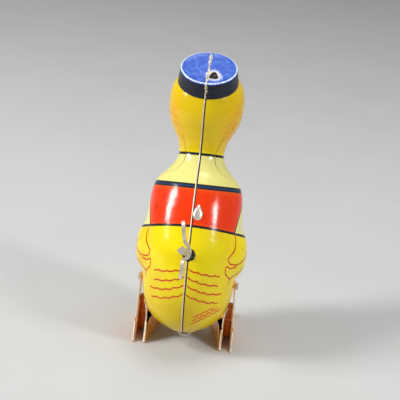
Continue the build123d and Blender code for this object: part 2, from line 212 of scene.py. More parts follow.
def through(points, step=0.12):
    """Smooth path through two-dimensional points, evenly sampled."""
    points = np.asarray(points, float)
    lengths = np.concatenate(([0.0], np.cumsum(np.linalg.norm(np.diff(points, axis=0), axis=1))))
    count = max(2, int(lengths[-1] / step))
    where = np.linspace(0, lengths[-1], count)
    out = []
    for column in range(points.shape[1]):
        values = points[:, column]
        slopes = np.gradient(values, lengths)
        i = np.clip(np.searchsorted(lengths, where, side="right") - 1, 0, len(points) - 2)
        gap = lengths[i + 1] - lengths[i]
        t = (where - lengths[i]) / gap
        out.append((1 + 2 * t) * (1 - t) ** 2 * values[i] + t * (1 - t) ** 2 * gap * slopes[i]
                   + t * t * (3 - 2 * t) * values[i + 1] + t * t * (t - 1) * gap * slopes[i + 1])
    return np.stack(out, axis=-1)


def punch(faces, lost):
    """Faces that stay when a hole takes the lost corners, and the lost corners at its edge."""
    kept = []
    edge = set()
    for face in faces:
        hidden = [lost[corner] for corner in face]
        if not all(hidden):
            kept.append(face)
            edge.update(corner for corner, gone in zip(face, hidden) if gone)
    return kept, edge


def compact(faces, fields):
    """The points in use, with the faces renumbered and the fields cut down to them."""
    used = sorted({corner for face in faces for corner in face})
    renumber = {old: new for new, old in enumerate(used)}
    faces = [tuple(renumber[corner] for corner in face) for face in faces]
    return used, faces, {key: values.reshape(-1)[used] for key, values in fields.items()}


def thicken(piece, thickness, offset=-1.0, inner_slot=0, rim_slot=0):
    """Turn a surface into sheet metal of a thickness in millimetres."""
    sheet = piece.modifiers.new("sheet", "SOLIDIFY")
    sheet.thickness = thickness / 1000
    sheet.offset = offset
    sheet.material_offset = inner_slot
    sheet.material_offset_rim = rim_slot


# ---------------------------------------------------------------- the printed picture
# wing lines as (degrees round from the back seam, height)
FEATHERS = [[(60, 7.2), (61, 5.2), (59, 2.6), (53, 0.0), (50, -1.4), (52, -2.4), (58, -3.1), (66, -2.9),
             (76, -0.8), (88, 2.4), (98, 4.6)],
            [(65, -3.9), (57.5, -4.5), (49, -4.7), (50, -6.0), (55, -7.2), (60.5, -8.0), (68, -7.4),
             (80, -4.6), (94, -0.8), (104, 1.8)],
            [(61, -8.2), (62.5, -9.0), (62.5, -10.0)],
            [(84, -7.6), (97, -6.8), (110, -3.4), (118, 1.0), (119, 5.0), (112, 9.4), (101, 12.6)],
            [(99, -3.0), (107, -0.6), (111, 2.6)], [(96, 1.6), (103, 4.2), (104, 7.4)]]
DASHES = [[(67 + 4 * i, 3.6 - 0.5 * i), (70 + 4 * i, 1.8 - 0.5 * i)] for i in range(4)]
DASHES += [[(62 + 5 * i, -4.9 + 0.4 * i), (65 + 5 * i, -6.2 + 0.5 * i)] for i in range(4)]
DASHES += [[(88 + 5 * i, -2.6 + 0.8 * i), (91 + 5 * i, -4.0 + 0.8 * i)] for i in range(4)]
# height, dip, start and end of each scalloped row below the key
SCALLOPS = [(-5.8, 1.3, 0.9, 11.2), (-8.6, 1.8, 0.8, 10.9), (-11.4, 2.0, 0.8, 12.2), (-14.5, 1.9, 0.8, 11.4)]
CONTOURS = [[(50, 39.5), (46, 36.5), (40, 33.0), (38, 30.5), (42, 28.2), (55, 26.6), (69, 25.4)]]
RUMP = [[(16 + 3.6 * i, -24.6 + 0.50 * i + 1.3 * row - 0.45 * (i % 2)) for i in range(13 - 2 * row)]
        for row in range(3)]
VEST_SEAM = [(92, 21.6), (80, 17.0), (66, 12.0), (57, 7.0)]
VEST_TOP = 21.4
BAND_TOP = 23.1
NECK_H = 33.4


def print_fields(points, angle):
    """Distances in millimetres from every point to the lines and areas of the print."""
    x, h, r = np.abs(points[..., 0]), points[..., 1], points[..., 2]
    degrees = np.degrees(angle)
    around = np.hypot(x, r) * math.pi / 180

    def distance_to(paths):
        spots = []
        for path in paths:
            line = through(path, 0.25)
            spots.append(skin(travel_at(line[:, 1]), np.radians(line[:, 0]), 1))
        spots = np.concatenate(spots)
        dense = np.concatenate([spots, (spots[1:] + spots[:-1]) / 2])
        tree = KDTree(len(dense))
        for i, spot in enumerate(dense):
            tree.insert(spot, i)
        tree.balance()
        flat = np.stack([x, h, r], axis=-1).reshape(-1, 3)
        return np.array([tree.find(spot)[2] for spot in flat]).reshape(x.shape)

    rows = []
    for height, dip, start, end in SCALLOPS:
        reach = np.linspace(start, end, 90)
        bend = dip * np.sin(np.clip((reach - start) / 8.2, 0, 1.35) * math.pi / 2)
        lobes = 0.42 * np.abs(np.sin((reach - start) * math.pi / 2.9)) ** 0.7
        width = section_at(travel_at(height - bend))[1]
        rows.append(list(zip(np.degrees(np.arcsin(np.clip(reach / width, 0, 0.97))), height - bend - lobes)))

    seam_line = np.interp(h, [p[1] for p in reversed(VEST_SEAM)], [p[0] for p in reversed(VEST_SEAM)])
    hem = 8.7 - 0.0062 * x ** 2
    back_panel = np.minimum(np.minimum(VEST_TOP - h, h - hem), (seam_line - degrees) * around)
    opening = 158 - 1.1 * (h - 4)
    front_panel = np.minimum(np.minimum(VEST_TOP - h, h - 4.4),
                             np.minimum((degrees - 116) * around, (opening - degrees) * around))
    eye = np.stack([x - 9.3, h - 56.4, r + 8.6], axis=-1)
    button = np.full(x.shape, 9.0)
    for height in (8.2, 13.0, 17.4):
        across = (degrees - (opening + 6)) * around
        button = np.minimum(button, np.hypot(across, h - height))
    under_cap = h * math.cos(CAP_TILT) - HEAD_H * math.cos(CAP_TILT) + r * math.sin(CAP_TILT) - CAP_SEAT
    return {"height": h, "from_seam": x, "signed_x": points[..., 0], "round": degrees,
            "under_cap": under_cap, "contour_line": distance_to(CONTOURS),
            "rump_line": distance_to(RUMP) + 9.0 * (points[..., 0] < 0),
            "feather_line": distance_to(FEATHERS),
            "dash_line": distance_to(DASHES),
            "scallop_line": distance_to(rows),
            "vest_area": np.maximum(back_panel, front_panel),
            "vest_seam": np.abs(seam_line - degrees) * around + 9.0 * (np.abs(h - 14.2) > 7.2),
            "hem_line": np.abs(h - hem) + 9.0 * (degrees > 118),
            "eye": np.linalg.norm(eye, axis=-1), "button": button,
            "sleeve": np.minimum(h - hem, (degrees - seam_line) * around)}


# ---------------------------------------------------------------- materials
class Paint:
    """A material's node tree, with short calls for the nodes that it needs."""

    def __init__(self, name):
        self.material = bpy.data.materials.new(name)
        self.material.use_nodes = True
        self.tree = self.material.node_tree
        self.shader = self.tree.nodes["Principled BSDF"]
        place = self.tree.nodes.new("ShaderNodeTexCoord")
        self.place = place.outputs["Object"]

    def put(self, socket, value):
        """Link a socket, or set its own value."""
        if isinstance(value, bpy.types.NodeSocket):
            self.tree.links.new(value, socket)
        elif isinstance(value, tuple) and len(value) == 3 and len(socket.default_value) == 4:
            socket.default_value = (*value, 1.0)
        else:
            socket.default_value = value

    def field(self, name):
        node = self.tree.nodes.new("ShaderNodeAttribute")
        node.attribute_name = name
        return node.outputs["Fac"]

    def math(self, operation, first, second=0.0):
        node = self.tree.nodes.new("ShaderNodeMath")
        node.operation = operation
        self.put(node.inputs[0], first)
        self.put(node.inputs[1], second)
        return node.outputs[0]

    def step(self, value, low, high):
        """0 where value is at low, 1 where it is at high, whichever is larger."""
        node = self.tree.nodes.new("ShaderNodeMapRange")
        node.interpolation_type = "SMOOTHSTEP"
        self.put(node.inputs["Value"], value)
        self.put(node.inputs["From Min"], low)
        self.put(node.inputs["From Max"], high)
        return node.outputs["Result"]

    def mix(self, factor, first, second):
        node = self.tree.nodes.new("ShaderNodeMix")
        node.data_type = "RGBA"
        self.put(node.inputs["Factor"], factor)
        self.put(node.inputs["A"], first)
        self.put(node.inputs["B"], second)
        return node.outputs["Result"]

    def noise(self, scale, detail=3.0, roughness=0.5, stretch=None):
        """Noise at so many features to the millimetre."""
        node = self.tree.nodes.new("ShaderNodeTexNoise")
        node.inputs["Scale"].default_value = scale * 1000
        node.inputs["Detail"].default_value = detail
        node.inputs["Roughness"].default_value = roughness
        place = self.place
        if stretch:
            mapping = self.tree.nodes.new("ShaderNodeMapping")
            mapping.inputs["Scale"].default_value = stretch
            self.put(mapping.inputs["Vector"], self.place)
            place = mapping.outputs["Vector"]
        self.put(node.inputs["Vector"], place)
        return node.outputs["Fac"]

    def dots(self, scale):
        """Distance to the nearest dot of a stipple, so many dots to the millimetre."""
        node = self.tree.nodes.new("ShaderNodeTexVoronoi")
        node.inputs["Scale"].default_value = scale * 1000
        self.put(node.inputs["Vector"], self.place)
        return node.outputs["Distance"]

    def bump(self, height, strength, distance):
        node = self.tree.nodes.new("ShaderNodeBump")
        node.inputs["Strength"].default_value = strength
        node.inputs["Distance"].default_value = distance
        self.put(node.inputs["Height"], height)
        self.put(self.shader.inputs["Normal"], node.outputs["Normal"])

    def finish(self, **sockets):
        for name, value in sockets.items():
            self.put(self.shader.inputs[name.replace("_", " ")], value)
        return self.material


YELLOW = (0.86, 0.70, 0.003)
DEEP_YELLOW = (0.66, 0.40, 0.002)
CREAM = (0.80, 0.76, 0.26)
RED = (0.84, 0.040, 0.002)
DARK_RED = (0.50, 0.012, 0.002)
INK = (0.012, 0.012, 0.018)
LINE_RED = (0.60, 0.065, 0.002)
BAND_BLUE = (0.020, 0.040, 0.095)
OLD_YELLOW = (0.80, 0.58, 0.003)
HEAD_YELLOW = (0.70, 0.47, 0.002)
STIPPLE_ORANGE = (0.74, 0.22, 0.002)
OLD_CREAM = (0.74, 0.68, 0.18)
EDGE_RED = (0.86, 0.12, 0.006)
BRASS_YELLOW = (0.75, 0.55, 0.02)
HAIR_BROWN = (0.30, 0.16, 0.02)
DASH_BROWN = (0.55, 0.12, 0.01)
RUMP_RED = (0.66, 0.07, 0.003)
EYE_WHITE = (0.85, 0.85, 0.80)
BARE_TIN = (0.72, 0.66, 0.42)
# painted shadow colour for the open seam beside the rolled edge
SEAM_SHADOW_BROWN = (0.022, 0.012, 0.005)


def litho_paint():
    """Glossy lacquered print on the shells."""
    paint = Paint("litho_print")
    field = {name: paint.field(name) for name in
             ("height", "from_seam", "signed_x", "round", "under_cap", "contour_line", "rump_line",
              "feather_line", "dash_line", "scallop_line", "vest_area", "vest_seam", "hem_line", "eye",
              "button", "sleeve")}
    soft = 0.05
    blotch = paint.noise(0.09, 2.0)
    wobble = paint.math("MULTIPLY", paint.math("SUBTRACT", paint.noise(0.9), 0.5), 0.22)
    grain = paint.noise(3.0, 4.0, 0.7)

    colour = paint.mix(paint.step(blotch, 0.35, 0.75), YELLOW, OLD_YELLOW)
    low_shade = paint.step(field["height"], -4.0, -30.0)
    colour = paint.mix(paint.math("MULTIPLY", low_shade, 0.55), colour, DEEP_YELLOW)
    head_area = paint.step(field["height"], NECK_H, NECK_H + 2.0)
    colour = paint.mix(paint.math("MULTIPLY", head_area, 0.75), colour, HEAD_YELLOW)

    # orange stipple on the cheeks and the nape, and inside the feathers
    cheek = paint.math("MULTIPLY", paint.step(field["height"], 34.0, 41.0),
                       paint.step(field["height"], 57.0, 46.0))
    cheek = paint.math("MULTIPLY", cheek, paint.step(field["round"], 24.0, 62.0))
    stipple = paint.step(paint.dots(0.95), 0.52, 0.36)
    density = paint.math("ADD", paint.math("MULTIPLY", stipple, 0.60), 0.22)
    head_tone = paint.math("MULTIPLY", cheek, density)
    colour = paint.mix(head_tone, colour, STIPPLE_ORANGE)

    # cream shoulders and wing tops
    shoulder = paint.math("MULTIPLY", paint.step(field["height"], BAND_TOP - 0.1, BAND_TOP + 0.1),
                          paint.step(field["height"], NECK_H, NECK_H - 0.3))
    sleeve = paint.math("MULTIPLY", paint.step(field["sleeve"], 0.0, 0.15),
                        paint.step(field["height"], BAND_TOP, BAND_TOP - 0.2))
    sleeve = paint.math("MULTIPLY", sleeve, paint.step(field["round"], 119.0, 117.0))
    cream = paint.mix(paint.step(grain, 0.3, 0.8), CREAM, OLD_CREAM)
    colour = paint.mix(paint.math("MAXIMUM", shoulder, sleeve), colour, cream)
    shirt = paint.math("MULTIPLY", paint.step(field["round"], 116.0, 118.0),
                       paint.math("MULTIPLY", paint.step(field["height"], 4.3, 4.5),
                                  paint.step(field["height"], BAND_TOP, BAND_TOP - 0.2)))
    colour = paint.mix(shirt, colour, cream)

    # red vest with darker folds
    fold = paint.step(paint.noise(0.30, 2.0, 0.5, (1.0, 1.0, 0.35)), 0.56, 0.74)
    vest = paint.mix(paint.math("MULTIPLY", fold, 0.55), RED, DARK_RED)
    near_edge = paint.math("MULTIPLY", paint.step(field["vest_area"], 1.8, 0.2), 0.35)
    vest = paint.mix(near_edge, vest, EDGE_RED)
    colour = paint.mix(paint.step(paint.math("ADD", field["vest_area"], wobble), -soft, soft), colour, vest)
    button = paint.step(field["button"], 0.95, 0.85)
    colour = paint.mix(button, colour, BRASS_YELLOW)

    # dark lines
    def draw(base, distance, width, ink, uneven=True):
        reach = paint.math("ADD", distance, wobble) if uneven else distance
        return paint.mix(paint.step(reach, width + soft, width - soft), base, ink)

    colour = draw(colour, field["vest_seam"], 0.34, INK)
    colour = draw(colour, field["hem_line"], 0.42, INK)
    band = paint.math("ABSOLUTE", paint.math("SUBTRACT", field["height"], (VEST_TOP + BAND_TOP) / 2))
    colour = draw(colour, band, (BAND_TOP - VEST_TOP) / 2, INK, False)
    colour = draw(colour, band, (BAND_TOP - VEST_TOP) / 2 - 0.45, BAND_BLUE, False)
    neck = paint.math("ABSOLUTE", paint.math("SUBTRACT", field["height"], NECK_H))
    colour = draw(colour, neck, 0.46, INK, False)
    colour = draw(colour, field["feather_line"], 0.30, LINE_RED)
    colour = draw(colour, field["dash_line"], 0.13, DASH_BROWN)
    colour = draw(colour, field["scallop_line"], 0.29, LINE_RED)
    colour = draw(colour, field["rump_line"], 0.26, RUMP_RED)
    colour = draw(colour, field["contour_line"], 0.13, HAIR_BROWN, False)
    button_rim = paint.math("ABSOLUTE", paint.math("SUBTRACT", field["button"], 0.95))
    colour = draw(colour, button_rim, 0.14, INK, False)
    colour = draw(colour, field["eye"], 2.5, INK, False)
    colour = draw(colour, field["eye"], 2.15, EYE_WHITE, False)
    colour = draw(colour, field["eye"], 1.35, INK, False)

    # bare tin along the seam and in chips
    chip_noise = paint.noise(0.55, 4.0, 0.65)
    seam_wear = paint.math("ADD", field["from_seam"], paint.math("MULTIPLY", chip_noise, -1.3))
    bare = paint.step(seam_wear, -0.34, -0.42)
    specks = paint.math("MULTIPLY", paint.step(paint.noise(1.1, 5.0, 0.7), 0.745, 0.765), 0.8)
    worn = paint.math("MAXIMUM", bare, specks)
    colour = paint.mix(worn, colour, BARE_TIN)
    # painted shadow of the open seam: a dark brown strip on the right shell beside the rolled edge
    gap = paint.math("MULTIPLY", paint.step(field["signed_x"], 0.0, 0.02),
                     paint.step(field["signed_x"], 0.46, 0.40))
    colour = paint.mix(gap, colour, SEAM_SHADOW_BROWN)
    # painted shade: the head under the cap is inked black and made rough, so that it shows dark through the
    # cap's hole
    colour = paint.mix(paint.step(field["under_cap"], 2.2, 2.6), colour, INK)
    rough = paint.math("ADD", paint.math("MULTIPLY", grain, 0.10),
                       paint.math("ADD", paint.math("MULTIPLY", worn, 0.25), 0.13))
    rough = paint.math("ADD", rough, paint.step(field["under_cap"], 2.2, 2.6))
    dents = paint.math("ADD", paint.noise(0.16, 2.0), paint.math("MULTIPLY", paint.noise(1.6, 3.0), 0.06))
    paint.bump(dents, 0.35, 0.0006)
    return paint.finish(Base_Color=colour, Roughness=rough, Coat_Weight=0.14, Coat_Roughness=0.06,
                        IOR=1.38, Metallic=0.0)


def cap_paint():
    """Blue cap: lighter worn top, dark side, bare rim and chips by the seam and the hole."""
    paint = Paint("cap_print")
    top, rim, seam, hole = (paint.field(name) for name in ("cap_top", "cap_rim", "from_seam", "cap_hole"))
    scuff = paint.noise(0.5, 5.0, 0.65)
    blue = paint.mix(paint.step(scuff, 0.40, 0.72), (0.022, 0.080, 0.46), (0.075, 0.19, 0.62))
    side = paint.mix(paint.step(scuff, 0.45, 0.8), (0.003, 0.005, 0.016), (0.008, 0.013, 0.040))
    colour = paint.mix(paint.step(top, 0.4, 0.6), side, blue)
    specks = paint.math("MULTIPLY", paint.step(paint.noise(2.0, 4.0, 0.7), 0.66, 0.72),
                        paint.step(paint.noise(0.16, 1.0), 0.48, 0.58))
    colour = paint.mix(paint.math("MULTIPLY", specks, top), colour, (0.55, 0.68, 0.92))
    ragged = paint.noise(0.8, 5.0, 0.7)
    worn_rim = paint.step(paint.math("ADD", rim, paint.math("MULTIPLY", ragged, -0.75)), -0.08, -0.16)
    colour = paint.mix(worn_rim, colour, (0.66, 0.74, 0.84))
    patches = paint.math("MULTIPLY", paint.step(paint.noise(0.22, 2.0), 0.44, 0.58), 0.9)
    seam_wear = paint.math("ADD", seam, paint.math("MULTIPLY", ragged, -2.3))
    seam_wear = paint.math("SUBTRACT", seam_wear, paint.math("MULTIPLY", patches, 0.45))
    seam_chip = paint.step(seam_wear, -0.95, -1.15)
    hole_chip = paint.step(paint.math("ADD", hole, paint.math("MULTIPLY", ragged, -2.2)), -0.55, -0.80)
    halo = paint.step(paint.math("ADD", hole, paint.math("MULTIPLY", ragged, -2.2)), 0.75, -0.30)
    colour = paint.mix(paint.math("MULTIPLY", halo, 0.85), colour, (0.50, 0.54, 0.74))
    bare = paint.math("MAXIMUM", seam_chip, hole_chip)
    colour = paint.mix(bare, colour, (0.70, 0.64, 0.50))
    rough = paint.math("ADD", paint.math("MULTIPLY", scuff, 0.35), 0.18)
    paint.bump(paint.math("ADD", paint.math("MULTIPLY", bare, -0.5), scuff), 0.25, 0.0003)
    return paint.finish(Base_Color=colour, Roughness=rough, Coat_Weight=0.1, Coat_Roughness=0.15,
                        IOR=1.38, Metallic=0.0)


def tin_paint(name, colour, dark, metallic=0.9, rough=0.32):
    """Bare or plated metal with tarnish and fine scratches."""
    paint = Paint(name)
    cloud = paint.noise(0.35, 4.0, 0.6)
    scratch = paint.noise(1.5, 3.0, 0.6, (1.0, 0.12, 1.0))
    shade = paint.mix(paint.step(cloud, 0.35, 0.75), colour, dark)
    shade = paint.mix(paint.math("MULTIPLY", paint.step(scratch, 0.6, 0.7), 0.3), shade, (0.85, 0.83, 0.80))
    roughness = paint.math("ADD", paint.math("MULTIPLY", cloud, 0.35), rough - 0.12)
    paint.bump(paint.math("ADD", scratch, cloud), 0.15, 0.0002)
    return paint.finish(Base_Color=shade, Metallic=metallic, Roughness=roughness)


def foot_paint():
    """Orange lacquer on the feet, cloudy in tone, with small pale chips."""
    paint = Paint("orange_lacquer")
    cloud = paint.noise(0.25, 3.0, 0.6)
    colour = paint.mix(paint.step(cloud, 0.3, 0.75), (1.0, 0.40, 0.020), (0.88, 0.26, 0.010))
    chips = paint.step(paint.noise(1.4, 5.0, 0.7), 0.71, 0.74)
    colour = paint.mix(chips, colour, (0.70, 0.55, 0.38))
    rough = paint.math("ADD", paint.math("MULTIPLY", cloud, 0.2), 0.16)
    paint.bump(cloud, 0.2, 0.0004)
    return paint.finish(Base_Color=colour, Roughness=rough, Coat_Weight=0.5, Coat_Roughness=0.1,
                        Metallic=0.15)


def channel_shade_paint():
    """Lacquer inside the foot, with painted light and shade across it: brown-red by the outer wall, orange
    by the inner one, lighter than the lacquer outside.
    """
    paint = Paint("orange_lacquer_inside_shaded")
    across = paint.field("across")
    cloud = paint.noise(0.3, 3.0, 0.6)
    part = paint.math("ADD", across, paint.math("MULTIPLY", paint.math("SUBTRACT", cloud, 0.5), 0.25))
    # painted shade and light: darker red by the outer wall (across 0), which is turned from the light,
    # brighter orange by the inner wall (across 1)
    colour = paint.mix(paint.step(part, 0.15, 0.85), (0.95, 0.20, 0.006), (1.0, 0.50, 0.045))
    paint.bump(cloud, 0.2, 0.0004)
    rough = paint.math("ADD", paint.math("MULTIPLY", cloud, 0.2), 0.22)
    return paint.finish(Base_Color=colour, Roughness=rough, Coat_Weight=0.4, Coat_Roughness=0.12)


def dress(piece, *materials):
    """Give a piece these materials in place of what it has."""
    piece.data.materials.clear()
    for material in materials:
        piece.data.materials.append(material)


# ---------------------------------------------------------------- shells
def shell(side, paint, inner):
    """One printed half of the body, with the key hole cut at its seam."""
    name = "right" if side > 0 else "left"
    travel = np.linspace(0, TRAVEL[-1], int(TRAVEL[-1] / GRID))
    angle = np.linspace(0, math.pi, int(18.0 * math.pi / GRID))
    rows, columns = len(travel), len(angle)
    where, turn = np.meshgrid(travel, angle, indexing="ij")
    points = skin(where, turn, side)
    points[..., 0] = side * np.maximum(np.abs(points[..., 0]), SEAM_GAP)
    fields = print_fields(points, turn)

    offset = np.hypot(points[..., 0] - KEY_HOLE_X, points[..., 1] - KEY_H)
    inside = (offset < KEY_HOLE) & (points[..., 2] > 0)
    faces, edge = punch(grid_faces(rows, columns, flip=side < 0), inside.reshape(-1))
    flat = points.reshape(-1, 3)
    for corner in edge:
        grow = KEY_HOLE / max(offset.flat[corner], 0.2)
        flat[corner, 0] = KEY_HOLE_X + (flat[corner, 0] - KEY_HOLE_X) * grow
        flat[corner, 1] = KEY_H + (flat[corner, 1] - KEY_H) * grow
    used, faces, fields = compact(faces, fields)
    piece = add_mesh(f"{name}_shell_skin", to_row(flat[used]), faces, "body", (f"{name}_body_shell",),
                     fields)
    thicken(piece, SHEET, inner_slot=1)
    dress(piece, paint, inner)
    # painted shade: faces of the head under the cap take the near-black inside material
    for polygon in piece.data.polygons:
        if all(fields["under_cap"][corner] > SHADE_PAINTED_ABOVE for corner in polygon.vertices):
            polygon.material_index = 1


def cap_place(points):
    """Cap-frame points (x, towards the face, up out of the top) as body-frame points."""
    points = np.asarray(points, float)
    x, ahead, up = points[..., 0], points[..., 1], points[..., 2] + CAP_SEAT
    h = HEAD_H + up * math.cos(CAP_TILT) + ahead * math.sin(CAP_TILT)
    r = up * math.sin(CAP_TILT) - ahead * math.cos(CAP_TILT)
    return np.stack([x, h, r], axis=-1)


def cap(side, paint, inner):
    """Half of the pillbox cap: flared lower edge, side, rolled rim and slightly sunken top."""
    name = "right" if side > 0 else "left"
    outline = through([(CAP_LOW - 0.5, -0.4), (CAP_LOW + 0.12, -0.15), (CAP_LOW + 0.05, 0.5),
                       (CAP_TOP + 0.2, 3.0), (CAP_TOP, CAP_HEIGHT - 0.7),
                       (CAP_TOP - 0.15, CAP_HEIGHT - 0.12), (CAP_TOP - 0.6, CAP_HEIGHT),
                       (CAP_TOP - 1.4, CAP_HEIGHT - 0.22),
                       (6.5, CAP_HEIGHT - 0.3), (3.5, CAP_HEIGHT - 0.25), (0.05, CAP_HEIGHT - 0.2)], 0.28)
    turn = np.linspace(0, math.pi, 110)
    radius, angle = np.meshgrid(outline[:, 0], turn, indexing="ij")
    height = np.repeat(outline[:, 1][:, None], len(turn), axis=1)
    x = side * np.maximum(radius * np.sin(angle), SEAM_GAP)
    local = np.stack([x, radius * np.cos(angle), height], axis=-1)
    hole_x, hole_y = CAP_HOLE
    away = np.stack([side * local[..., 0] - hole_x, local[..., 1] - hole_y], axis=-1)
    spoke = np.arctan2(away[..., 1], away[..., 0])
    hole_size = 1.72 - 0.30 * np.cos(2 * spoke) - 0.22 * np.sin(3 * spoke) + 0.10 * np.sin(5 * spoke + 0.6)
    reach = np.linalg.norm(away, axis=-1)
    on_top = ease(height, CAP_HEIGHT - 0.9, CAP_HEIGHT - 0.3)
    from_hole = np.where(height > CAP_HEIGHT - 1, reach - hole_size, 9.0) if side > 0 else np.where(
        height > CAP_HEIGHT - 1, np.hypot(local[..., 0] - hole_x, local[..., 1] - hole_y) - 1.6, 9.0)
    rim = np.abs(np.hypot(radius - CAP_TOP + 0.3, height - CAP_HEIGHT + 0.1))
    faces = grid_faces(*radius.shape, flip=side > 0)
    points = local.reshape(-1, 3).copy()
    if side > 0:
        faces, edge = punch(faces, (from_hole < 0).reshape(-1))
        sizes, gaps = hole_size.reshape(-1), reach.reshape(-1)
        for corner in edge:
            grow = sizes[corner] / max(gaps[corner], 0.1)
            points[corner, 0] = max(hole_x + (points[corner, 0] - hole_x) * grow, SEAM_GAP)
            points[corner, 1] = hole_y + (points[corner, 1] - hole_y) * grow
            points[corner, 2] -= 0.25
    fields = {"cap_top": on_top, "cap_rim": rim, "from_seam": np.abs(local[..., 0]), "cap_hole": from_hole}
    used, faces, fields = compact(faces, fields)
    piece = add_mesh(f"{name}_cap", to_row(cap_place(points[used])), faces, "body", (), fields)
    thicken(piece, SHEET, inner_slot=1)
    dress(piece, paint, inner)


def seam_edge(paint):
    """Bare rolled edge of the left shell, standing up along the seam all the way round."""
    travel = np.linspace(0.4, travel_at(60.0), 260)
    back = skin(travel, np.zeros_like(travel), 1)
    over_cap = cap_place(through([(0, -CAP_LOW - 0.1, -0.1), (0, -CAP_TOP - 0.15, 3.0),
                                  (0, -CAP_TOP, CAP_HEIGHT - 0.5), (0, -CAP_TOP + 0.6, CAP_HEIGHT),
                                  (0, -4.0, CAP_HEIGHT - 0.25), (0, 4.0, CAP_HEIGHT - 0.25),
                                  (0, CAP_TOP - 0.6, CAP_HEIGHT), (0, CAP_TOP, CAP_HEIGHT - 0.5),
                                  (0, CAP_LOW, 0.0)], 0.4))
    cap_start = over_cap[0]
    back = back[back[:, 1] < cap_start[1]]
    front = skin(travel, np.full_like(travel, math.pi), 1)
    front = front[front[:, 1] < over_cap[-1][1]][::-1]
    path = np.concatenate([back, over_cap, front])
    away = np.gradient(path, axis=0)
    outward = np.stack([np.zeros(len(path)), -away[:, 2], away[:, 1]], axis=-1)
    outward /= np.linalg.norm(outward, axis=1)[:, None]
    path = path + outward * 0.02
    path[:, 0] = -EDGE_RADIUS
    hole = np.hypot(path[:, 0], path[:, 1] - KEY_H) < KEY_HOLE - 0.1
    split = np.flatnonzero(hole & (path[:, 2] > 0))
    for number, part in enumerate((path[:split[0]], path[split[-1] + 1:])):
        points, faces = tube(part, EDGE_RADIUS, 8)
        piece = add_mesh(f"seam_edge_{number}", to_row(points), faces, "body", ())
        dress(piece, paint)


def tabs(paint):
    """The two folded tabs: a drop-shaped one on the back of the vest and a bent one under the body."""
    rings, around = 9, 40
    points = []
    for ring in range(rings):
        part = ring / (rings - 1)
        for step in range(around):
            turn = 2 * math.pi * step / around
            drop = 1.0 + 0.55 * max(0.0, math.sin(turn)) ** 6
            x = TAB_X + 1.65 * part * math.cos(turn)
            h = TAB_H + 2.05 * part * drop * math.sin(turn)
            back = section_at(travel_at(h))
            surface = (back[2] - back[3]) / 2 + (back[2] + back[3]) / 2 * math.cos(math.asin(x / back[1]))
            points.append((x, h, surface + 0.45 * (1 - part ** 4) + 0.12 * (1 - part ** 12)))
    faces = grid_faces(rings, around, closed=True)
    vest = add_mesh("vest_tab", to_row(points), faces, "body", ("seam_tabs",))
    dress(vest, paint)
    bend = through([(-1.6, -28.6, 0.9), (-0.9, -29.35, 0.6), (0.6, -29.7, 0.4), (2.0, -29.4, 0.3),
                    (2.8, -28.6, 0.2)], 0.2)
    points = np.concatenate([bend + np.array((0.0, 0.0, -0.9)), bend + np.array((0.0, 0.0, 0.9))])
    under = add_mesh("under_tab", to_row(points), grid_faces(2, len(bend)), "body", ())
    thicken(under, SHEET, offset=0.0)
    dress(under, paint)


def foot_channel(side, bright):
    """Concave heel and leg of a foot, inside the folded outer wall, with its bare sheet edges."""
    name = "right" if side > 0 else "left"
    hip_y = HIP[1]
    # height, rear edge y from the hip, outer x, inner x, web y from the hip
    levels = [(0.3, -8.3, 16.95, 13.45, 3.4), (3.2, -6.3, 16.95, 13.45, 3.6), (6.4, -4.2, 16.95, 13.5, 3.6),
              (7.4, -3.6, 16.95, 13.5, 3.4), (10.0, -3.6, 16.85, 13.6, 3.0), (12.0, -3.3, 16.7, 13.9, 2.7),
              (14.2, -3.1, 16.6, 14.6, 2.4)]
    levels = through(levels, 0.45)
    around = 26
    points, across = [], []
    for z, rear, outer, inner, web in levels:
        middle, half = (outer + inner) / 2, (outer - inner) / 2
        for step in range(around):
            part = step / (around - 1)
            turn = math.pi * part
            x = middle + half * abs(math.cos(turn)) ** 0.55 * math.copysign(1, math.cos(turn))
            y = rear + (web - rear) * math.sin(turn) ** 0.6
            points.append((side * x, hip_y + y, z))
            across.append(part)
    faces = grid_faces(len(levels), around, flip=side > 0)
    # across runs from 0 at the outer wall to 1 at the inner one; the inside paint turns it into painted
    # shade
    piece = add_mesh(f"{name}_foot_channel", np.array(points) / 1000, faces, "legs", (),
                     {"across": across})
    thicken(piece, 0.3, offset=1.0, rim_slot=1)
    dress(piece, channel_shade_paint(), bright)
    outer_edge = [(17.25, -8.4, 0.3), (17.25, -6.6, 3.2), (17.25, -4.35, 6.3)]
    leg_edge = [(17.25, -3.7, 7.4), (17.10, -3.55, 10.0), (16.95, -3.45, 13.0), (16.75, -3.1, 16.5),
                (16.50, -2.75, 20.0)]
    inner_edge = [(13.30, -8.4, 0.3), (13.20, -6.6, 3.2), (13.25, -4.35, 6.4)]
    upper_edge = [(13.45, -3.8, 7.2), (13.60, -3.75, 10.0), (14.0, -3.4, 13.0)]
    for number, edge in enumerate((outer_edge, leg_edge, inner_edge, upper_edge)):
        path = through(edge, 0.4) * np.array((side, 1.0, 1.0)) + np.array((0.0, hip_y, 0.0))
        points, faces = tube(path, 0.27, 10)
        strip = add_mesh(f"{name}_foot_edge_{number}", points / 1000, faces, "legs", ())
        dress(strip, bright)


